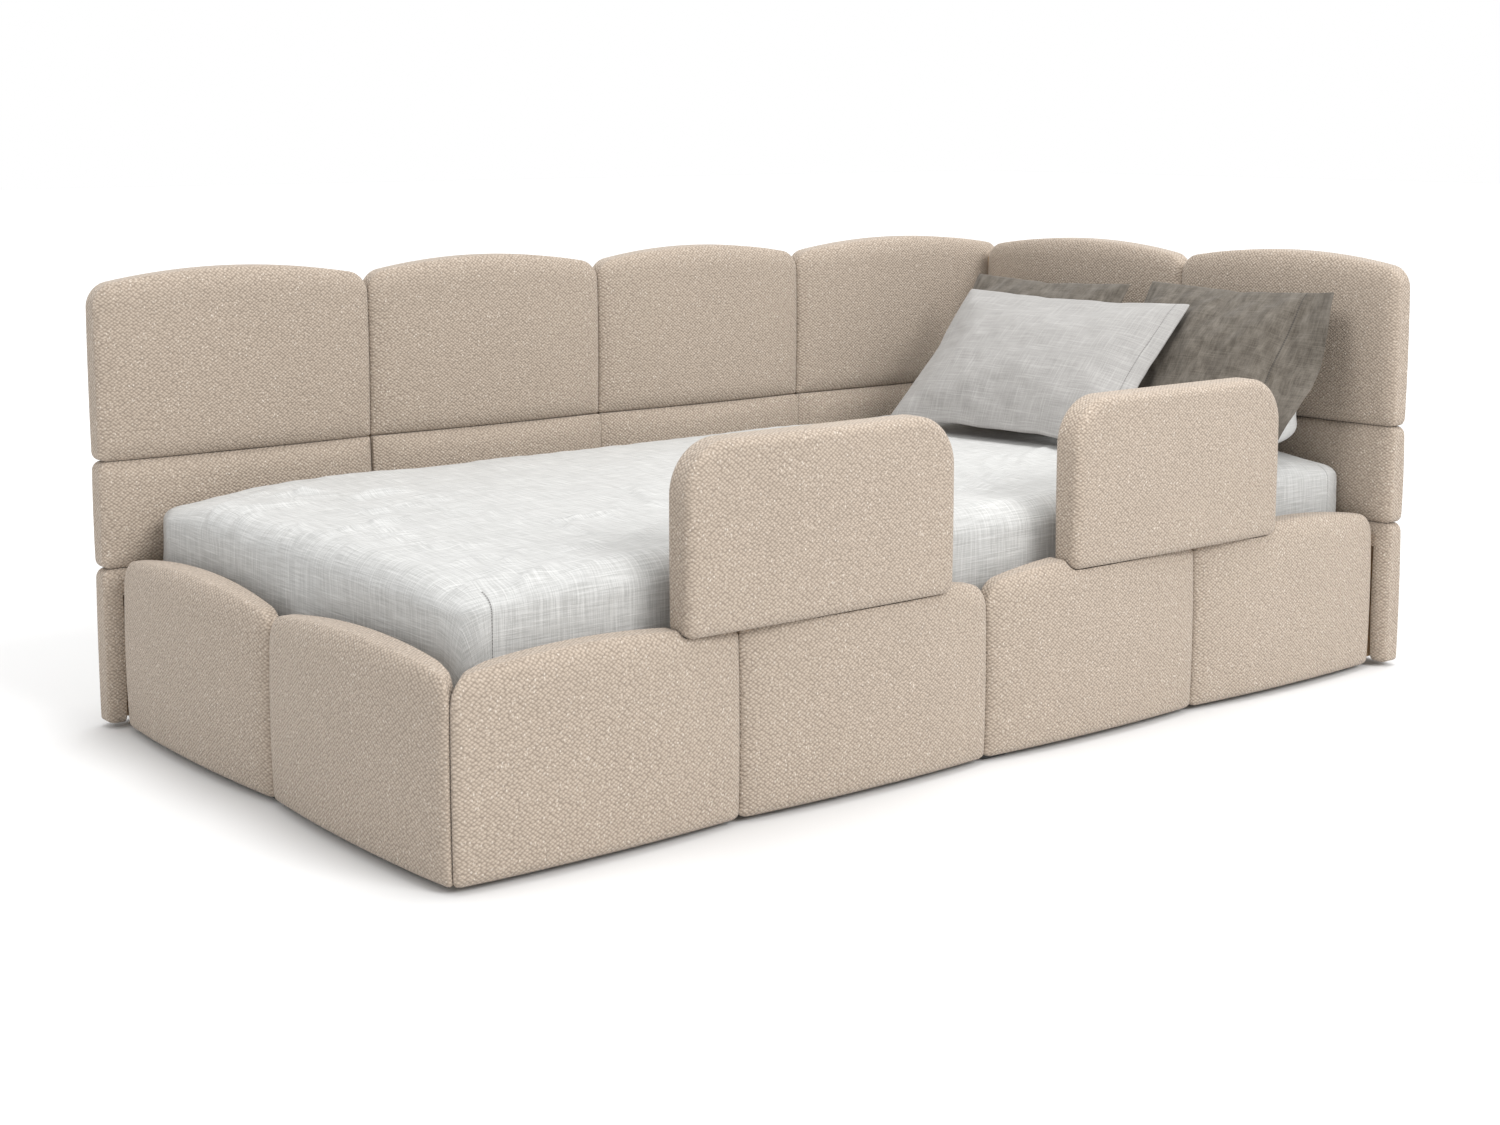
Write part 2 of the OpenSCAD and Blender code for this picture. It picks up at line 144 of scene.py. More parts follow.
class Shader:
    def __init__(self, name):
        self.material = bpy.data.materials.new(name)
        self.material.use_nodes = True
        self.tree = self.material.node_tree
        self.surface = self.tree.nodes["Principled BSDF"]

    def node(self, kind, settings=None, inputs=None, output=0):
        made = self.tree.nodes.new("ShaderNode" + kind)
        for key, value in (settings or {}).items():
            if key == "stops":
                ramp = made.color_ramp.elements
                while len(ramp) < len(value):
                    ramp.new(0.5)
                for element, (place, level) in zip(ramp, value):
                    element.position = place
                    element.color = (level, level, level, 1)
            else:
                setattr(made, key, value)
        for key, value in (inputs or {}).items():
            self.feed(made.inputs[key], value)
        return Wire(self, made.outputs[output])

    def feed(self, socket, value):
        if isinstance(value, Wire):
            self.tree.links.new(value.socket, socket)
        else:
            socket.default_value = value

    def maths(self, operation, a, b):
        return self.node("Math", {"operation": operation}, {0: a, 1: b})

    def sine(self, value):
        return self.maths("SINE", value, 0.0)

    def largest(self, a, b):
        return self.maths("MAXIMUM", a, b)

    def mix(self, factor, a, b):
        return self.node("Mix", {"data_type": "RGBA"}, {0: factor, 6: a, 7: b}, output=2)

    def place(self):
        return self.node("TexCoord", output="Object")

    def split(self, vector):
        made = self.node("SeparateXYZ", inputs={0: vector})
        return [Wire(self, made.socket.node.outputs[n]) for n in range(3)]

    def join(self, x, y, z=0.0):
        return self.node("CombineXYZ", inputs={0: x, 1: y, 2: z})

    def noise(self, vector, scale, detail=2.0, roughness=0.5):
        return self.node("TexNoise", inputs={"Vector": vector, "Scale": scale,
                                             "Detail": detail, "Roughness": roughness})

    def ramp(self, value, *stops):
        return self.node("ValToRGB", {"stops": stops}, {0: value})

    def stretch(self, vector, x, y, z):
        return self.node("Mapping", inputs={"Vector": vector, "Scale": (x, y, z)})

    def flatPlace(self):
        # place along the two directions of the face that a point is on, in metres
        x, y, z = self.split(self.place())
        nx, ny, nz = (abs(n) for n in self.split(self.node("TexCoord", output="Normal")))
        sideways = nx > self.largest(ny, nz)
        upwards = nz > self.largest(nx, ny)
        return x + (y - x) * sideways, z + (y - z) * upwards

    def uvPlace(self):
        u, v, _ = self.split(self.node("UVMap", {"uv_map": "cloth"}))
        return u, v

    def finish(self, colour, roughness, height=None, strength=0.5, distance=0.001, **constants):
        self.feed(self.surface.inputs["Base Color"], colour)
        self.feed(self.surface.inputs["Roughness"], roughness)
        if height is not None:
            bump = self.node("Bump", inputs={"Strength": strength, "Distance": distance,
                                             "Height": height})
            self.feed(self.surface.inputs["Normal"], bump)
        for key, value in constants.items():
            self.surface.inputs[key.replace("_", " ")].default_value = value
        return self.material


# gap is painted shade for the hollows between knots, and it also darkens some knots at random
boucle = {"knot": 0.0064, "glint": 0.0070, "base": (0.515, 0.430, 0.350, 1),
          "gap": (0.20, 0.160, 0.126, 1), "bright": (0.80, 0.715, 0.62, 1)}


def boucleFabric():
    # knots stand in staggered rows, and painted highlights, small pale glints, lie among them
    s = Shader("boucleFabric")
    u, v = s.flatPlace()
    knots = s.node("TexVoronoi", {"feature": "F1", "voronoi_dimensions": "2D"},
                   {"Vector": s.join(u * 0.78 + v, u * 0.78 - v),
                    "Scale": 1.0 / boucle["knot"], "Randomness": 0.35})
    chance, _, _ = s.split(Wire(s, knots.socket.node.outputs["Color"]))
    hill = s.ramp(knots, (0.14, 1), (0.66, 0))
    lumps = s.noise(s.place(), 480, 2, 0.6)
    cell = s.node("TexVoronoi", {"feature": "F1"},
                  {"Vector": s.stretch(s.place(), 1, 1, 0.72), "Scale": 1 / boucle["glint"]})
    patch = s.ramp(s.noise(s.place(), 34, 2, 0.6), (0.36, 0.25), (0.64, 1))
    glint = s.ramp(cell, (0.13, 1), (0.25, 0)) * patch
    broad = s.ramp(s.noise(s.place(), 7, 3), (0.3, 0), (0.7, 1))
    # painted shade: the hollows between knots are darkened towards the gap colour
    colour = s.mix(hill * 0.75 + lumps * 0.45, boucle["gap"], boucle["base"])
    colour = s.mix(chance * 0.2, colour, boucle["gap"])
    colour = s.mix(broad * 0.08, colour, (0.50, 0.415, 0.338, 1))
    # painted highlight: pale glints mixed over the knots, standing in for light caught on them
    colour = s.mix(glint * 0.62, colour, boucle["bright"])
    height = hill * 0.8 + lumps * 0.3 + glint * 0.5
    return s.finish(colour, 0.92 - glint * 0.3, height, 1.0, 0.0014,
                    Sheen_Weight=0.15, Sheen_Roughness=0.45, Specular_IOR_Level=0.25)


def linen(name, base, dark, light, uv=True, slubs=0.5, streak=0.0, bump=0.35, pale=0.5,
          seams=()):
    # woven cloth: fine threads both ways, thicker slub threads, washed streaks and sewn seams
    # a seam is (direction 0 or 1, where it runs, strength, how far from the middle it starts)
    s = Shader(name)
    u, v = s.uvPlace() if uv else s.flatPlace()
    place = s.join(u, v)
    warp = s.noise(s.stretch(place, 520, 16, 1), 1, 2, 0.6)
    weft = s.noise(s.stretch(place, 16, 520, 1), 1, 2, 0.6)
    slubWarp = s.ramp(s.noise(s.stretch(place, 250, 10, 1), 1, 1), (0.55, 0), (0.70, 1))
    slubWeft = s.ramp(s.noise(s.stretch(place, 10, 250, 1), 1, 1), (0.55, 0), (0.70, 1))
    thin = s.ramp(s.noise(s.stretch(place, 300, 12, 1), 1, 1), (0.30, 1), (0.44, 0))
    thinWeft = s.ramp(s.noise(s.stretch(place, 12, 300, 1), 1, 1), (0.30, 1), (0.44, 0))
    threads = (warp + weft) * 0.5
    cloudy = s.noise(place, 6, 4, 0.55)
    washed = s.ramp(s.noise(s.stretch(place, 18, 46, 1), 1, 6, 0.75), (0.42, 0), (0.68, 1))
    colour = s.mix(s.ramp(threads, (0.40, 0), (0.60, 1)), dark, base)
    colour = s.mix((thin + thinWeft) * (slubs * 0.45), colour, dark)
    colour = s.mix((slubWarp + slubWeft) * (slubs * pale), colour, light)
    colour = s.mix(washed * streak, colour, light)
    colour = s.mix(s.ramp(cloudy, (0.4, 0), (0.8, 0.2)), colour, dark)
    height = threads + (slubWarp + slubWeft) * 0.35 - (thin + thinWeft) * 0.2
    for direction, at, strength, beyond in seams:
        across, along = (u, v) if direction == 0 else (v, u)
        line = s.ramp(abs(across - at) * 400, (0.25, 1), (0.8, 0)) * (abs(along) > beyond)
        stitch = s.ramp(s.sine(along * 1300) * 0.5 + 0.5, (0.3, 0.45), (0.7, 1))
        colour = s.mix(line * stitch * strength, colour, (0.05, 0.045, 0.04, 1))
        height = height - line * 2.5
    return s.finish(colour, 0.88, height, bump, 0.0009,
                    Sheen_Weight=0.12, Sheen_Roughness=0.5, Specular_IOR_Level=0.25)


plyThickness = 0.003


def wood(name, base, dark, along, plies=False):
    # along is the grain's direction: 0 for X, 1 for Y, 2 for Z
    s = Shader(name)
    scale = [60.0, 60.0, 60.0]
    scale[along] = 3.0
    grain = s.noise(s.stretch(s.place(), *scale), 1, 6, 0.62)
    rings = s.node("TexWave", {"wave_type": "BANDS", "bands_direction": "DIAGONAL"},
                   {"Vector": s.stretch(s.place(), *[n / 60 for n in scale]), "Scale": 9.0,
                    "Distortion": 6.0, "Detail": 3.0})
    colour = s.mix(s.ramp(grain, (0.35, 0), (0.7, 1)), dark, base)
    colour = s.mix(s.ramp(rings, (0.0, 0.35), (0.6, 0)), colour, dark)
    if plies:
        _, y, _ = s.split(s.place())
        layer = s.sine(y * (2 * math.pi / plyThickness)) > 0.2
        colour = s.mix(layer * 0.18, colour, dark)
    return s.finish(colour, 0.55 + grain * 0.2, grain, 0.25, 0.0006)


def metal(name):
    s = Shader(name)
    brushed = s.noise(s.stretch(s.place(), 40, 40, 900), 1, 3)
    patches = s.node("TexVoronoi", {"feature": "F1"}, {"Vector": s.place(), "Scale": 160.0},
                     "Color")
    colour = s.mix(patches * 0.25, (0.55, 0.56, 0.58, 1), (0.72, 0.72, 0.71, 1))
    return s.finish(colour, 0.28 + brushed * 0.25, brushed, 0.15, 0.0003, Metallic=1.0)


def moulded(name, base):
    s = Shader(name)
    grit = s.noise(s.place(), 900, 3)
    colour = s.mix(grit * 0.3, base, (0.2, 0.2, 0.2, 1))
    return s.finish(colour, 0.5 + grit * 0.2, grit, 0.25, 0.0004)


fabric = boucleFabric()
sheetCloth = linen("sheetCloth", (0.55, 0.55, 0.54, 1), (0.38, 0.38, 0.37, 1),
                   (0.66, 0.66, 0.645, 1), slubs=1.0, bump=0.6, pale=0.32,
                   seams=[(0, side * 0.943, 0.75, 0.475) for side in (-1, 1)])
pillowCloth = linen("pillowCloth", (0.36, 0.35, 0.338, 1), (0.282, 0.274, 0.265, 1),
                    (0.455, 0.445, 0.43, 1), slubs=0.7, seams=[(1, -0.268, 0.45, 0)])
whiteCloth = linen("whiteCloth", (0.60, 0.60, 0.59, 1), (0.52, 0.52, 0.51, 1),
                   (0.68, 0.68, 0.67, 1), uv=False, slubs=0.5)
greyLinen = {"base": (0.108, 0.093, 0.075, 1), "dark": (0.066, 0.056, 0.045, 1),
             "light": (0.228, 0.203, 0.172, 1), "slubs": 0.3, "streak": 0.55}
greyCloth = linen("greyCloth", **greyLinen)
flapCloth = linen("flapCloth", **greyLinen, seams=[(1, -0.160, 0.9, 0)])
tickingCloth = linen("tickingCloth", (0.8, 0.8, 0.79, 1), (0.68, 0.69, 0.7, 1),
                     (0.88, 0.88, 0.87, 1), uv=False, slubs=0.2)
tapeCloth = linen("tapeCloth", (0.7, 0.66, 0.56, 1), (0.5, 0.46, 0.38, 1),
                  (0.8, 0.76, 0.66, 1), uv=False, slubs=0.3)
plywood = wood("plywood", (0.72, 0.54, 0.34, 1), (0.5, 0.34, 0.19, 1), 0, plies=True)
slatWood = wood("slatWood", (0.78, 0.6, 0.38, 1), (0.58, 0.4, 0.22, 1), 1)
beamWood = wood("beamWood", (0.7, 0.5, 0.3, 1), (0.5, 0.32, 0.17, 1), 0)
legWood = wood("legWood", (0.7, 0.5, 0.3, 1), (0.5, 0.32, 0.17, 1), 2)
steel = metal("zincSteel")
nylon = moulded("nylon", (0.03, 0.03, 0.03, 1))

finishes = {
    plywood: ["front_rail_board", "foot_board", "head_board", "back_board",
              "guard_left_core", "guard_right_core"],
    slatWood: ["slats"],
    beamWood: ["front_ledge", "back_ledge", "centre_beam"],
    legWood: ["centre_legs"],
    steel: ["beam_hangers", "corner_brackets", "bracket_bolts", "ledge_screws", "guard_sockets",
            "socket_screws", "guard_left_tongues", "guard_right_tongues", "guard_left_bolts",
            "guard_right_bolts"],
    nylon: ["leg_feet", "floor_glides"],
    tapeCloth: ["slat_tapes"],
}
for material, names in finishes.items():
    for name in names:
        nodes[name].data.materials.clear()
        nodes[name].data.materials.append(material)
print("materials made")


def roundRings(a, b, halfA, halfB, radius):
    # rounds the corners of every ring round the middle, the outermost most
    inset = np.minimum(halfA - a, halfB - b)
    turn = np.maximum(radius - inset, 0)
    ringA, ringB = halfA - inset - turn, halfB - inset - turn
    da, db = a - ringA, b - ringB
    corner = (da > 0) & (db > 0)
    k = np.maximum(da, db) / np.maximum(np.hypot(da, db), 1e-9)
    return np.where(corner, ringA + da * k, a), np.where(corner, ringB + db * k, b)


def softBlock(name, low, high, top, bottom, rise=0.0, crown=0.0, along=0.034, deep=0.021,
              tight=1.0, flatBack=False, turned=False, cuts=41, cloth=None):
    # top holds the radii of the upper left and upper right corners, bottom those of the lower ones
    # along and deep say how far the edge rolls in on the face and in depth, rise is the dome's
    # height, crown the face's bulge, and tight squeezes the lower edge's roll
    # turned blocks run along Y and face -X, the others run along X and face -Y
    obj = cube(name, (-1, -1, -1), (1, 1, 1), cuts)
    spot = np.sin(getPoints(obj) * math.pi / 2)
    size = np.array(high) - np.array(low)
    if turned:
        size = size[[1, 0, 2]]
    size[2] -= rise
    half = size / 2
    sign = np.sign(spot)
    x, y, z = (np.abs(spot) * half).T
    rounded = (sign[:, 1] < 0) | (not flatBack)
    # roll the edge between the face and the sides
    inset = np.minimum(half[0] - x, half[2] - z)
    depth = np.where(rounded, deep, 0.002)
    p = np.clip(1 - inset / along, 0, 1)
    q = np.clip(1 - (half[1] - y) / depth, 0, 1)
    both = (p > 0) & (q > 0)
    k = np.where(both, np.maximum(p, q) / np.maximum(np.hypot(p, q), 1e-9), 1)
    rolled = np.where(both, along * (1 - p * k), inset)
    y = np.where(both, half[1] - depth * (1 - q * k), y)
    x = x * (half[0] - rolled) / np.maximum(half[0] - inset, 1e-9)
    z = z * (half[2] - rolled) / np.maximum(half[2] - inset, 1e-9)
    radius = np.where(sign[:, 2] > 0, np.where(sign[:, 0] < 0, top[0], top[1]),
                      np.where(sign[:, 0] < 0, bottom[0], bottom[1]))
    x, z = roundRings(x, z, half[0], half[2], radius)
    # dome the top and crown the face
    u, w = x / half[0], z / half[2]
    z = z * sign[:, 2] + np.where(sign[:, 2] > 0, rise * (1 - u ** 2) * w ** 2, 0)
    fall = crown * (u ** 2.2 + 0.35 * w ** 2.2) * (y / half[1])
    y = (y - np.where(rounded, fall, 0)) * sign[:, 1]
    x = x * sign[:, 0]
    # squeeze the roll of the lower edge
    drop, height = z + half[2], high[2] - low[2]
    z = np.where(drop < along, drop * tight,
                 along * tight + (drop - along) * (height - along * tight) / (height - along))
    middle = (np.array(low) + np.array(high)) / 2
    middle[2] = low[2]
    setPoints(obj, np.column_stack([y, -x, z] if turned else [x, y, z]) + middle)
    obj.data.materials.append(cloth or fabric)
    return obj


backBoard, headBoard = boxOf("back_board"), boxOf("head_board")
frontBoard, footBoard = boxOf("front_rail_board"), boxOf("foot_board")
backLining, headLining = boxOf("back_lining"), boxOf("head_lining")
slatTop = boxOf("slats")[1][2]
innerZ = slatTop + 0.003
railTop = boxOf("foot_pad_1")[1][2]
far, under, skin = 5.0, -0.1, 0.0003
# the wall boards' feet are cut up to here, and the base's cuts start over the middle of the bed
footCut, baseX, baseY, footY = 0.017, 0.9, 0.3, 0.6

wallCore = [boxOf(n, skin) for n in ("back_board", "head_board", "front_rail_board", "foot_board")]
wallCore += [
    ((backLining[0][0] - skin, backLining[0][1] - skin, under), (far, far, backLining[1][2] + skin)),
    ((headLining[0][0] - skin, headLining[0][1] - skin, under),
     (far, backLining[0][1], headLining[1][2] + skin)),
    ((backBoard[0][0] - skin, baseY, under), (headBoard[1][0], backBoard[0][1] + skin, innerZ)),
    ((baseX, headBoard[0][1] - skin, under),
     (headBoard[0][0] + skin, backBoard[0][1] + skin, innerZ)),
    ((backBoard[0][0] - skin, backBoard[0][1] - skin, under), (far, backBoard[1][1] + skin, footCut)),
    ((headBoard[0][0] - skin, headBoard[0][1] - skin, under),
     (headBoard[1][0] + skin, footY, footCut)),
]
frontCore = [
    ((-far, frontBoard[0][1] - skin, under), (far, 0, innerZ)),
    ((-far, frontBoard[0][1] - skin, under), (far, frontBoard[1][1] + skin, frontBoard[1][2] + skin)),
]
footCore = [
    ((footBoard[0][0] - skin, -far, under), (0, far, innerZ)),
    ((footBoard[0][0] - skin, -far, under), (footBoard[1][0] + skin, far, footBoard[1][2] + skin)),
]
guards = {side: boxOf(f"guard_{side}_pad") for side in ("left", "right")}


def finishPad(obj, node, cores, body="bed_frame"):
    carve(obj, cores)
    smooth(obj)
    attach(obj, body)
    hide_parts(node)


mitreReach = 0.1


def mitre(obj, axis, start):
    # leans the end of a rail pad on the 45 degree line where the two rails meet
    points = getPoints(obj)
    other = 1 - axis
    depth = points[:, other] - start[other]
    near = np.clip(1 - (points[:, axis] - start[axis]) / mitreReach, 0, 1)
    points[:, axis] += depth * near
    setPoints(obj, points)


bumper = {"top": 0.082, "bottom": 0.018, "crown": 0.005, "edge": 0.017, "swell": 0.004,
          "stand": 0.0015, "slope": 2, "ease": 0.001}


def pressUnderGuards(obj):
    # the rail's soft top gives way where a guard stands on it, and fills its rounded corners
    points = getPoints(obj)
    bend = bumper["bottom"]
    for low, high in guards.values():
        outside = np.maximum(low[0] - points[:, 0], points[:, 0] - high[0]) - bumper["swell"]
        inward = np.clip(bend + outside, 0, bend)
        ceiling = low[2] - bumper["stand"] + bend - np.sqrt(bend ** 2 - inward ** 2)
        ceiling += np.clip(outside, 0, 1) * bumper["slope"]
        over = points[:, 2] - ceiling
        points[:, 2] -= np.where(over > 0, over, 0)
    setPoints(obj, points)


rails = {"corner": 0.036, "pressed": 0.012, "bottom": 0.018, "rise": 0.022, "crown": 0.016,
         "tight": 0.5}
bedCorner = boxOf("foot_pad_1")[0]
bedCorner[1] = boxOf("front_pad_1")[0][1]
for n in range(1, 5):
    low, high = boxOf(f"front_pad_{n}")
    high[2] = railTop
    if n == 4:
        high[0] = boxOf("head_low_pad_1")[0][0] - skin
    # the corner that a guard stands on is pressed nearly square
    tops = (rails["corner"], rails["pressed"]) if n % 2 else (rails["pressed"], rails["corner"])
    pad = softBlock(f"frontPad{n}", low, high, tops, (rails["bottom"],) * 2, rails["rise"],
                    rails["crown"], tight=rails["tight"], cuts=47)
    if n == 1:
        mitre(pad, 0, bedCorner)
    pressUnderGuards(pad)
    finishPad(pad, f"front_pad_{n}", frontCore)
for n in range(1, 3):
    low, high = boxOf(f"foot_pad_{n}")
    pad = softBlock(f"footPad{n}", low, high, (rails["corner"],) * 2, (rails["bottom"],) * 2,
                    rails["rise"], rails["crown"], tight=rails["tight"], turned=True)
    if n == 1:
        mitre(pad, 1, bedCorner)
    finishPad(pad, f"foot_pad_{n}", footCore)
print("rail pads made")

walls = {"corner": 0.035, "seamCorner": 0.006, "outerCorner": 0.016, "rise": 0.026,
         "crown": 0.014, "tight": 0.5}
for wall, count in (("back", 4), ("head", 2)):
    for row in ("low", "mid", "top"):
        for n in range(1, count + 1):
            node = f"{wall}_{row}_pad_{n}"
            low, high = boxOf(node)
            isTop = row == "top"
            # the first column's rows are rounder where they wrap the wall's end
            outer = walls["outerCorner" if n == 1 else "seamCorner"]
            bottoms = (outer, walls["seamCorner"])
            if wall == "head":
                bottoms = bottoms[::-1]
            tops = (walls["corner"],) * 2 if isTop else bottoms
            pad = softBlock(f"{wall}{row.capitalize()}Pad{n}", low, high, tops, bottoms,
                            walls["rise"] if isTop else 0, walls["crown"],
                            tight=walls["tight"] if row == "low" else 1,
                            flatBack=not (isTop or n == 1), turned=wall == "head")
            finishPad(pad, node, wallCore)
print("wall pads made")

for side, (low, high) in guards.items():
    swell = np.array([bumper["swell"], 0, 0])
    pad = softBlock(f"guard{side.capitalize()}Pad", low - swell, high + swell,
                    (bumper["top"],) * 2, (bumper["bottom"],) * 2, 0, bumper["crown"],
                    along=bumper["edge"], deep=bumper["edge"], cuts=47)
    core = boxOf(f"guard_{side}_core", skin)
    tongues = boxOf(f"guard_{side}_tongues")
    ease = bumper["ease"]
    slot = (np.array([tongues[0][0] - ease, core[1][1] - ease, under]),
            np.array([tongues[1][0] + ease, tongues[1][1] + ease, tongues[1][2] + ease]))
    core[0][2] = under
    finishPad(pad, f"guard_{side}_pad", [core, slot], f"guard_{side}")
print("guards made")

linings = {"corner": 0.006, "along": 0.008, "deep": 0.006}
for wall, box in (("back", backLining), ("head", headLining)):
    corners = (linings["corner"],) * 2
    lining = softBlock(f"{wall}Lining", box[0], box[1], corners, corners,
                       along=linings["along"], deep=linings["deep"], turned=wall == "head",
                       cuts=15)
    finishPad(lining, f"{wall}_lining", [])


bedding = {"edge": 0.046, "corner": 0.008, "bend": 8, "sides": 14, "gap": 0.0035, "cloth": 0.0015,
           "droop": 0.024, "droopReach": 0.13, "squareness": 3.5, "flatBelow": 0.05}
creases = {"seed": 7, "foot": 40, "middle": 14, "between": 7, "wide": 0.006, "fine": 0.0016,
           "pulls": 0.0035, "least": -0.0012}


def boxCover(name, low, high, edge, corner, nx, ny, sides):
    # a top with its sides folded down, from a grid whose rim is extruded ring by ring
    only()
    bpy.ops.mesh.primitive_grid_add(x_subdivisions=nx, y_subdivisions=ny, size=2)
    obj = bpy.context.object
    obj.name = obj.data.name = name
    bpy.ops.object.mode_set(mode="EDIT")
    bpy.ops.mesh.select_all(action="DESELECT")
    bpy.ops.mesh.select_non_manifold()
    rings = bedding["bend"] + sides
    for _ in range(rings):
        bpy.ops.mesh.extrude_region_move(TRANSFORM_OT_translate={"value": (0, 0, -1)})
    bpy.ops.object.mode_set(mode="OBJECT")
    flat = getPoints(obj)
    half = (high - low) / 2
    ring = np.round(-flat[:, 2])
    a, b = half[0] - edge, half[1] - edge
    signX, signY = np.sign(flat[:, 0]), np.sign(flat[:, 1])
    x, y = roundRings(np.abs(flat[:, 0]) * a, np.abs(flat[:, 1]) * b, a, b, corner)
    # the way that each point of the rim goes out over the edge
    dx, dy = np.maximum(x - (a - corner), 0), np.maximum(y - (b - corner), 0)
    power = bedding["squareness"]
    length = np.maximum((dx ** power + dy ** power) ** (1 / power), 1e-9)
    dx, dy = dx / length * signX, dy / length * signY
    x, y = x * signX, y * signY
    angle = np.clip(ring / bedding["bend"], 0, 1) * math.pi / 2
    tall = high[2] - low[2]
    straight = np.clip(ring - bedding["bend"], 0, None) / sides * (tall - edge)
    fallen = edge * (1 - np.cos(angle)) + straight
    rolled = edge * angle + straight
    out = edge * np.sin(angle)
    normal = np.column_stack([dx * np.sin(angle), dy * np.sin(angle), np.cos(angle)])
    middle = (low + high) / 2
    # the filling is softer towards the corners, so the top droops there
    cornerWay = np.hypot(half[0] - np.abs(x), half[1] - np.abs(y))
    droop = bedding["droop"] * np.exp(-(cornerWay / bedding["droopReach"]) ** 2) * np.cos(angle)
    points = np.column_stack([x + dx * out + middle[0], y + dy * out + middle[1],
                              high[2] - fallen - droop])
    cloth = np.column_stack([x + dx * rolled, y + dy * rolled])
    return obj, points, normal, cloth, fallen


def creaseHeights(cloth, fallen):
    # short pulls over the foot edge, some in the middle and long soft ones between the guards
    rng = np.random.default_rng(creases["seed"])
    # a line is its middle, its direction, its reach, its width and its height
    lines = []
    for _ in range(creases["foot"]):
        lines.append((-0.97 + rng.uniform(0, 0.3), rng.uniform(-0.47, 0.42),
                      rng.normal(0.15, 0.4), rng.uniform(0.025, 0.08), rng.uniform(0.009, 0.016),
                      rng.uniform(0.0025, 0.0065)))
    for _ in range(creases["middle"]):
        lines.append((rng.normal(-0.55, 0.12), rng.normal(-0.16, 0.10), rng.normal(0.7, 0.5),
                      rng.uniform(0.04, 0.11), rng.uniform(0.010, 0.018),
                      rng.uniform(0.0028, 0.0065)))
    for n in range(creases["between"]):
        lines.append((0.02 + 0.07 * n, -0.30 + 0.02 * n, 1.25 - 0.1 * n, 0.17,
                      rng.uniform(0.012, 0.018), rng.uniform(0.004, 0.007)))
    x, y = cloth.T
    height = np.zeros(len(cloth))
    for cx, cy, turn, reach, width, tall in lines:
        along = (x - cx) * math.cos(turn) + (y - cy) * math.sin(turn)
        across = (y - cy) * math.cos(turn) - (x - cx) * math.sin(turn) + along ** 2 * 0.9
        fade = np.exp(-(along / reach) ** 4)
        height += tall * fade * (np.exp(-(across / width) ** 2)
                                 - 0.6 * np.exp(-((across - 1.5 * width) / width) ** 2))
    wide = np.array([noise.noise(Vector((a * 5, b * 5, 0.3))) for a, b in cloth])
    fine = np.array([noise.noise(Vector((a * 26, b * 26, 4.1))) for a, b in cloth])
    pulls = np.array([noise.noise(Vector((a * 34, b * 34, 9.0))) for a, b in cloth])
    down = np.clip((fallen - 0.02) / 0.12, 0, 1)
    return (height + wide * creases["wide"] + fine * creases["fine"]
            + pulls * creases["pulls"] * down)


low, high = boxOf("mattress", -bedding["gap"])
mattress, points, _, _, _ = boxCover("mattressBlock", low, high, bedding["edge"],
                                     bedding["corner"], 60, 30, 6)
setPoints(mattress, points)
only(mattress)
bpy.ops.object.mode_set(mode="EDIT")
bpy.ops.mesh.select_all(action="DESELECT")
bpy.ops.mesh.select_non_manifold()
bpy.ops.mesh.edge_face_add()
bpy.ops.object.mode_set(mode="OBJECT")
mattress.data.materials.append(tickingCloth)
smooth(mattress)
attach(mattress, "mattress_body")
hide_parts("mattress")

low, high = boxOf("fitted_sheet")
sheet, points, normal, cloth, fallen = boxCover("fittedSheet", low, high, bedding["edge"],
                                                bedding["corner"], 236, 118, bedding["sides"])
rise = np.maximum(creaseHeights(cloth, fallen), creases["least"])
# there is little room beside the rails, so the cloth lies flat there
rise *= np.where(fallen > bedding["flatBelow"], 0.5, 1)
uv = sheet.data.uv_layers[0]
uv.name = "cloth"
for loop in sheet.data.loops:
    uv.data[loop.index].uv = cloth[loop.vertex_index]
setPoints(sheet, points + normal * rise[:, None])
applyModifier(sheet, "SOLIDIFY", thickness=bedding["cloth"], offset=-1)
sheet.data.materials.append(sheetCloth)
smooth(sheet, 70)
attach(sheet, "mattress_body")
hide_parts("fitted_sheet")
sides = high[2] - low[2]
flat = (round(float(high[1] - low[1] + 2 * sides), 3),
        round(float(high[0] - low[0] + 2 * sides), 3))
topArea = (high[0] - low[0]) * (high[1] - low[1])
sideArea = 2 * sides * (high[0] - low[0] + high[1] - low[1])
round(float(topArea + sideArea), 3)
print("bedding made, the sheet is cut from", flat)


# foot is the middle of the lower edge, size is up the slope, along the lower edge and thick,
# and slack says how much of the flat case's outline is kept against the blown-up one
pillows = {
    "front_pillow": {"foot": (1.638, 0.612, 0.433), "yaw": 5, "tilt": 45, "flat": (0.40, 0.60),
                     "size": (0.365, 0.565, 0.095), "slack": 0.86, "cloth": pillowCloth,
                     "slot": "pillow_linen", "body": "front_pillow_body", "seed": 1,
                     "ripple": 0.0035},
    "grey_pillow_left": {"foot": (1.778, 0.775, 0.430), "yaw": 3, "tilt": 54,
                         "flat": (0.39, 0.46), "size": (0.352, 0.420, 0.078), "slack": 0.82,
                         "cloth": greyCloth, "slot": "grey_linen", "body": "grey_left_body",
                         "seed": 2, "ripple": 0.007},
    "grey_pillow_right": {"foot": (1.796, 0.285, 0.430), "yaw": 2, "tilt": 55,
                          "flat": (0.40, 0.47), "size": (0.360, 0.450, 0.080), "slack": 0.82,
                          "cloth": flapCloth, "slot": "grey_linen", "body": "grey_right_body",
                          "seed": 3, "ripple": 0.007, "flap": 0.055},
}
bedCentre = Vector((1.081, 0.588, 0))
blowing = {"case": 0.012, "pressure": 4, "steps": 20, "quality": 5}


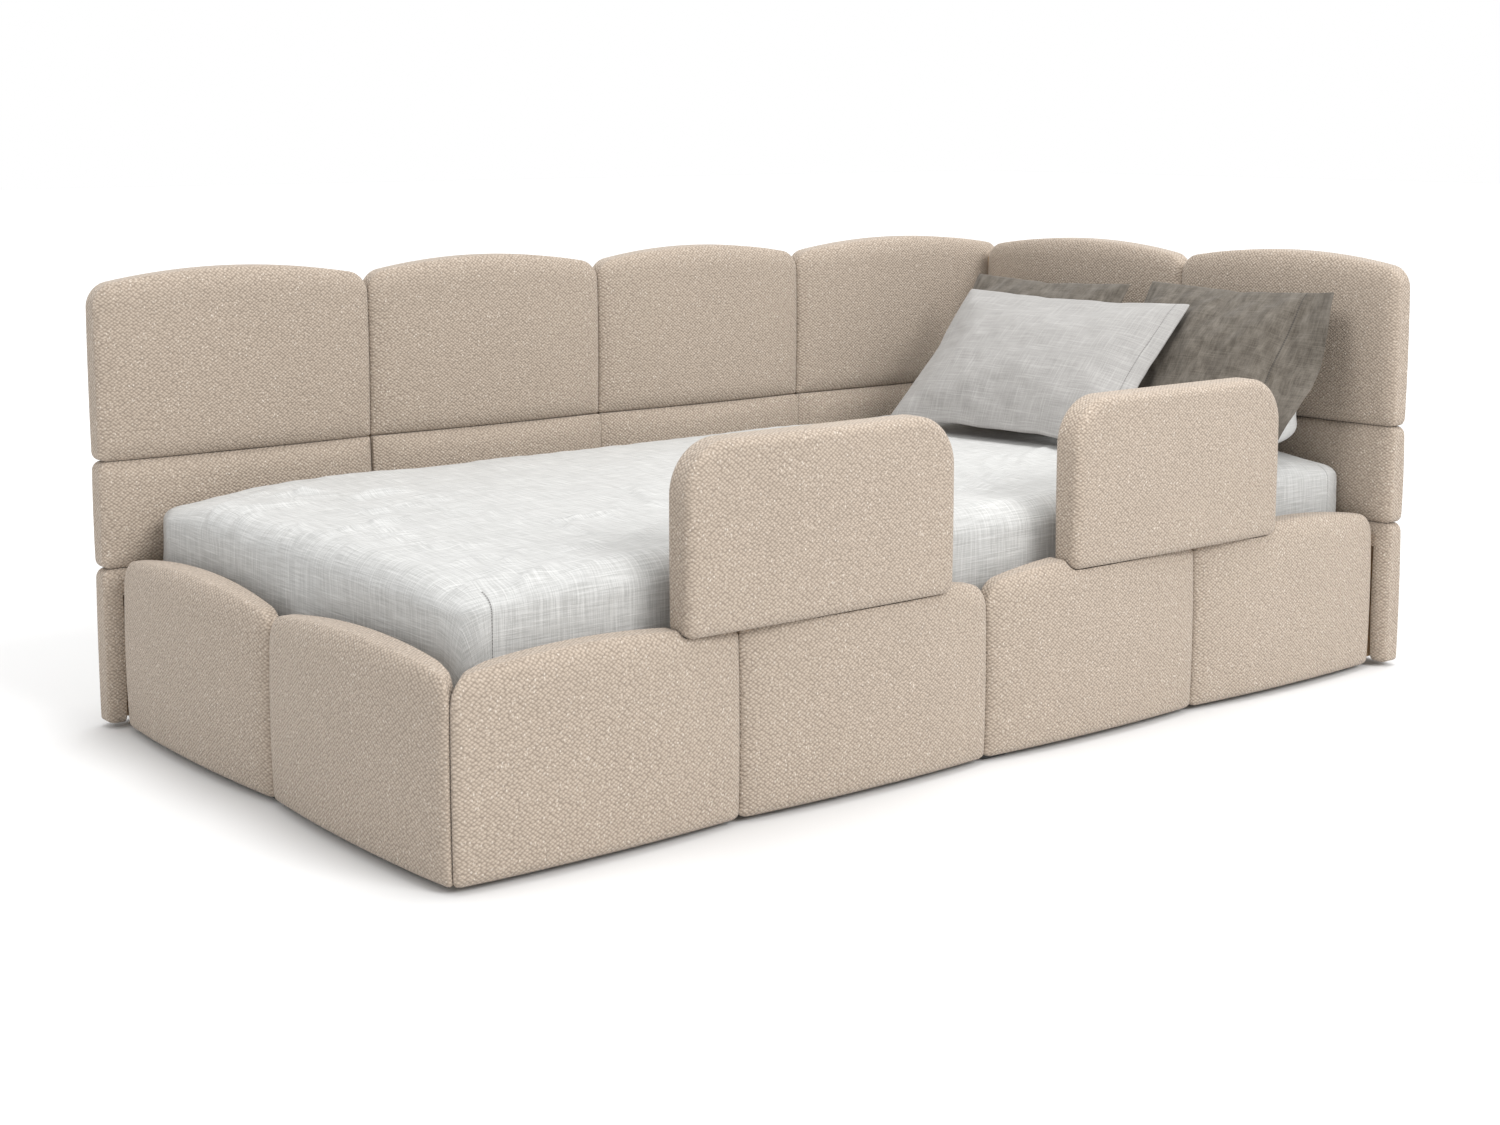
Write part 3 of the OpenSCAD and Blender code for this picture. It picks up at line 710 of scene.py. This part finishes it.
def pillowPlace(facts):
    return (Matrix.Translation(Vector(facts["foot"]) - bedCentre)
            @ Matrix.Rotation(math.radians(facts["yaw"]), 4, "Z")
            @ Matrix.Rotation(math.radians(-facts["tilt"]), 4, "Y")
            @ Matrix.Translation((facts["size"][0] / 2, 0, 0)))


def finishPillow(obj, node, facts):
    obj.data.transform(pillowPlace(facts))
    smooth(obj, 80)
    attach(obj, facts["body"])
    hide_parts(node)


def makePillow(node, facts):
    length, width = facts["flat"]
    only()
    bpy.ops.mesh.primitive_grid_add(x_subdivisions=44, y_subdivisions=60, size=1)
    obj = bpy.context.object
    obj.name = obj.data.name = node.replace("_", " ").title().replace(" ", "")
    setPoints(obj, getPoints(obj) * (length, width, 1))
    uv = obj.data.uv_layers[0]
    uv.name = "cloth"
    flat = getPoints(obj)
    for loop in obj.data.loops:
        uv.data[loop.index].uv = flat[loop.vertex_index][:2]
    applyModifier(obj, "SOLIDIFY", thickness=blowing["case"], offset=0)
    case = getPoints(obj)
    cloth = obj.modifiers.new("cloth", "CLOTH")
    cloth.settings.use_pressure = True
    cloth.settings.uniform_pressure_force = blowing["pressure"]
    cloth.settings.effector_weights.gravity = 0
    cloth.settings.quality = blowing["quality"]
    for step in range(1, blowing["steps"] + 1):
        bpy.context.scene.frame_set(step)
    only(obj)
    bpy.ops.object.modifier_apply(modifier="cloth")
    bpy.context.scene.frame_set(1)
    points = getPoints(obj)
    points -= (points.max(0) + points.min(0)) / 2
    print(node, "came out of the simulation at", np.round(np.ptp(points, axis=0), 3))
    size = np.array(facts["size"])
    points *= size / np.ptp(points, axis=0)
    case *= size / np.ptp(case, axis=0)
    points[:, :2] += (case[:, :2] - points[:, :2]) * facts["slack"]
    # the filling sinks, so the upper part is thinner
    points[:, 2] *= 1 - 0.25 * points[:, 0] / size[0]
    if "flap" in facts:
        # the case's open end hangs beyond its hem, flat and a little flared
        hem = -size[1] / 2 + facts["flap"]
        past = np.clip((hem + 0.05 - points[:, 1]) / 0.05, 0, 1)
        points[:, 2] *= 1 - 0.9 * past ** 2 * (3 - 2 * past)
        flare = np.clip(hem - points[:, 1], 0, 1) / facts["flap"]
        up = points[:, 0] / size[0] + 0.5
        points[:, 1] -= flare * (0.042 * np.sin(up * math.pi) - 0.01 * up)
        points[:, 2] += flare * 0.012 * np.sin(up * 9)
    setPoints(obj, points)
    applyModifier(obj, "SUBSURF", levels=1, render_levels=1)
    points = getPoints(obj)
    ripple = [noise.noise(Vector((p[0] * 13, p[1] * 17, p[2] * 6 + facts["seed"])))
              + 0.45 * noise.noise(Vector((p[0] * 42, p[1] * 34, p[2] * 20 + facts["seed"])))
              for p in points]
    normal = np.array([v.normal for v in obj.data.vertices])
    rim = np.minimum(size[0] / 2 - np.abs(points[:, 0]), size[1] / 2 - np.abs(points[:, 1]))
    points += normal * (np.array(ripple) * facts["ripple"] * np.clip(rim / 0.04, 0.15, 1))[:, None]
    setPoints(obj, points)
    obj.data.materials.append(facts["cloth"])
    finishPillow(obj, node, facts)


for node, facts in pillows.items():
    makePillow(node, facts)

# the white pillow that lies flat behind the others shows only its round end
rear = {"foot": (1.864, 0.415, 0.446), "yaw": 0, "tilt": 12, "size": (0.205, 0.560, 0.096),
        "reach": np.array([0.1025, 0.25, 0.048]), "corner": 0.03, "swing": 0.05,
        "slot": "pillow_white", "body": "rear_pillow_body"}
rearPillow = softBlock("RearPillow", -rear["reach"], rear["reach"], (rear["corner"],) * 2,
                       (rear["corner"],) * 2, 0, 0.012, along=0.047, deep=0.07, turned=True,
                       cloth=whiteCloth)
points = getPoints(rearPillow)
swing = [noise.noise(Vector(p * 14)) for p in points]
points *= 1 + np.array(swing)[:, None] * rear["swing"]
setPoints(rearPillow, points)
finishPillow(rearPillow, "rear_pillow", rear)
print("pillows made")


only()
bpy.ops.mesh.primitive_plane_add(size=60)
floor = bpy.context.object
floor.name = "floor"
s = Shader("paleFloor")
grain = s.noise(s.place(), 3, 3)
floor.data.materials.append(s.finish(s.mix(grain * 0.1, (0.72, 0.72, 0.72, 1),
                                           (0.70, 0.70, 0.70, 1)), 0.9))

scene = bpy.context.scene
scene.view_settings.view_transform = "Standard"
world = bpy.data.worlds.new("studio")
world.use_nodes = True
world.node_tree.nodes["Background"].inputs["Color"].default_value = (1, 1, 1, 1)
world.node_tree.nodes["Background"].inputs["Strength"].default_value = 1.0
scene.world = world

lamps = {"key": {"from": (0.212, -0.777, 0.593), "strength": 1.75, "spread": 25},
         "top": {"from": (0.16, 0.06, 0.98), "strength": 1.3, "spread": 30}}
for name, lamp in lamps.items():
    data = bpy.data.lights.new(name, "SUN")
    data.energy, data.angle = lamp["strength"], math.radians(lamp["spread"])
    light = bpy.data.objects.new(name, data)
    light.rotation_euler = Vector(lamp["from"]).to_track_quat("Z", "Y").to_euler()
    light.location = Vector(lamp["from"]) * 5
    scene.collection.objects.link(light)

# a soft lamp over the foot of the bed lifts the pillows and the head end's inner face
fill = {"at": (-1.4, -1.1, 2.2), "to": (1.05, -0.3, 0.55), "power": 3.4, "size": 0.8, "spread": 60}
data = bpy.data.lights.new("fill", "AREA")
data.energy, data.size, data.spread = fill["power"], fill["size"], math.radians(fill["spread"])
light = bpy.data.objects.new("fill", data)
light.location = fill["at"]
light.rotation_euler = (Vector(fill["at"]) - Vector(fill["to"])).to_track_quat("Z", "Y").to_euler()
scene.collection.objects.link(light)

view = {"at": (-2.573, -3.099, 1.049), "down": 7.463, "turn": 38.781, "lens": 53.507,
        "shift": -0.10}
camera = bpy.data.objects.new("camera", bpy.data.cameras.new("camera"))
camera.location = view["at"]
camera.rotation_euler = (math.radians(90 - view["down"]), 0, math.radians(-view["turn"]))
camera.data.lens, camera.data.shift_y = view["lens"], view["shift"]
scene.collection.objects.link(camera)
scene.camera = camera
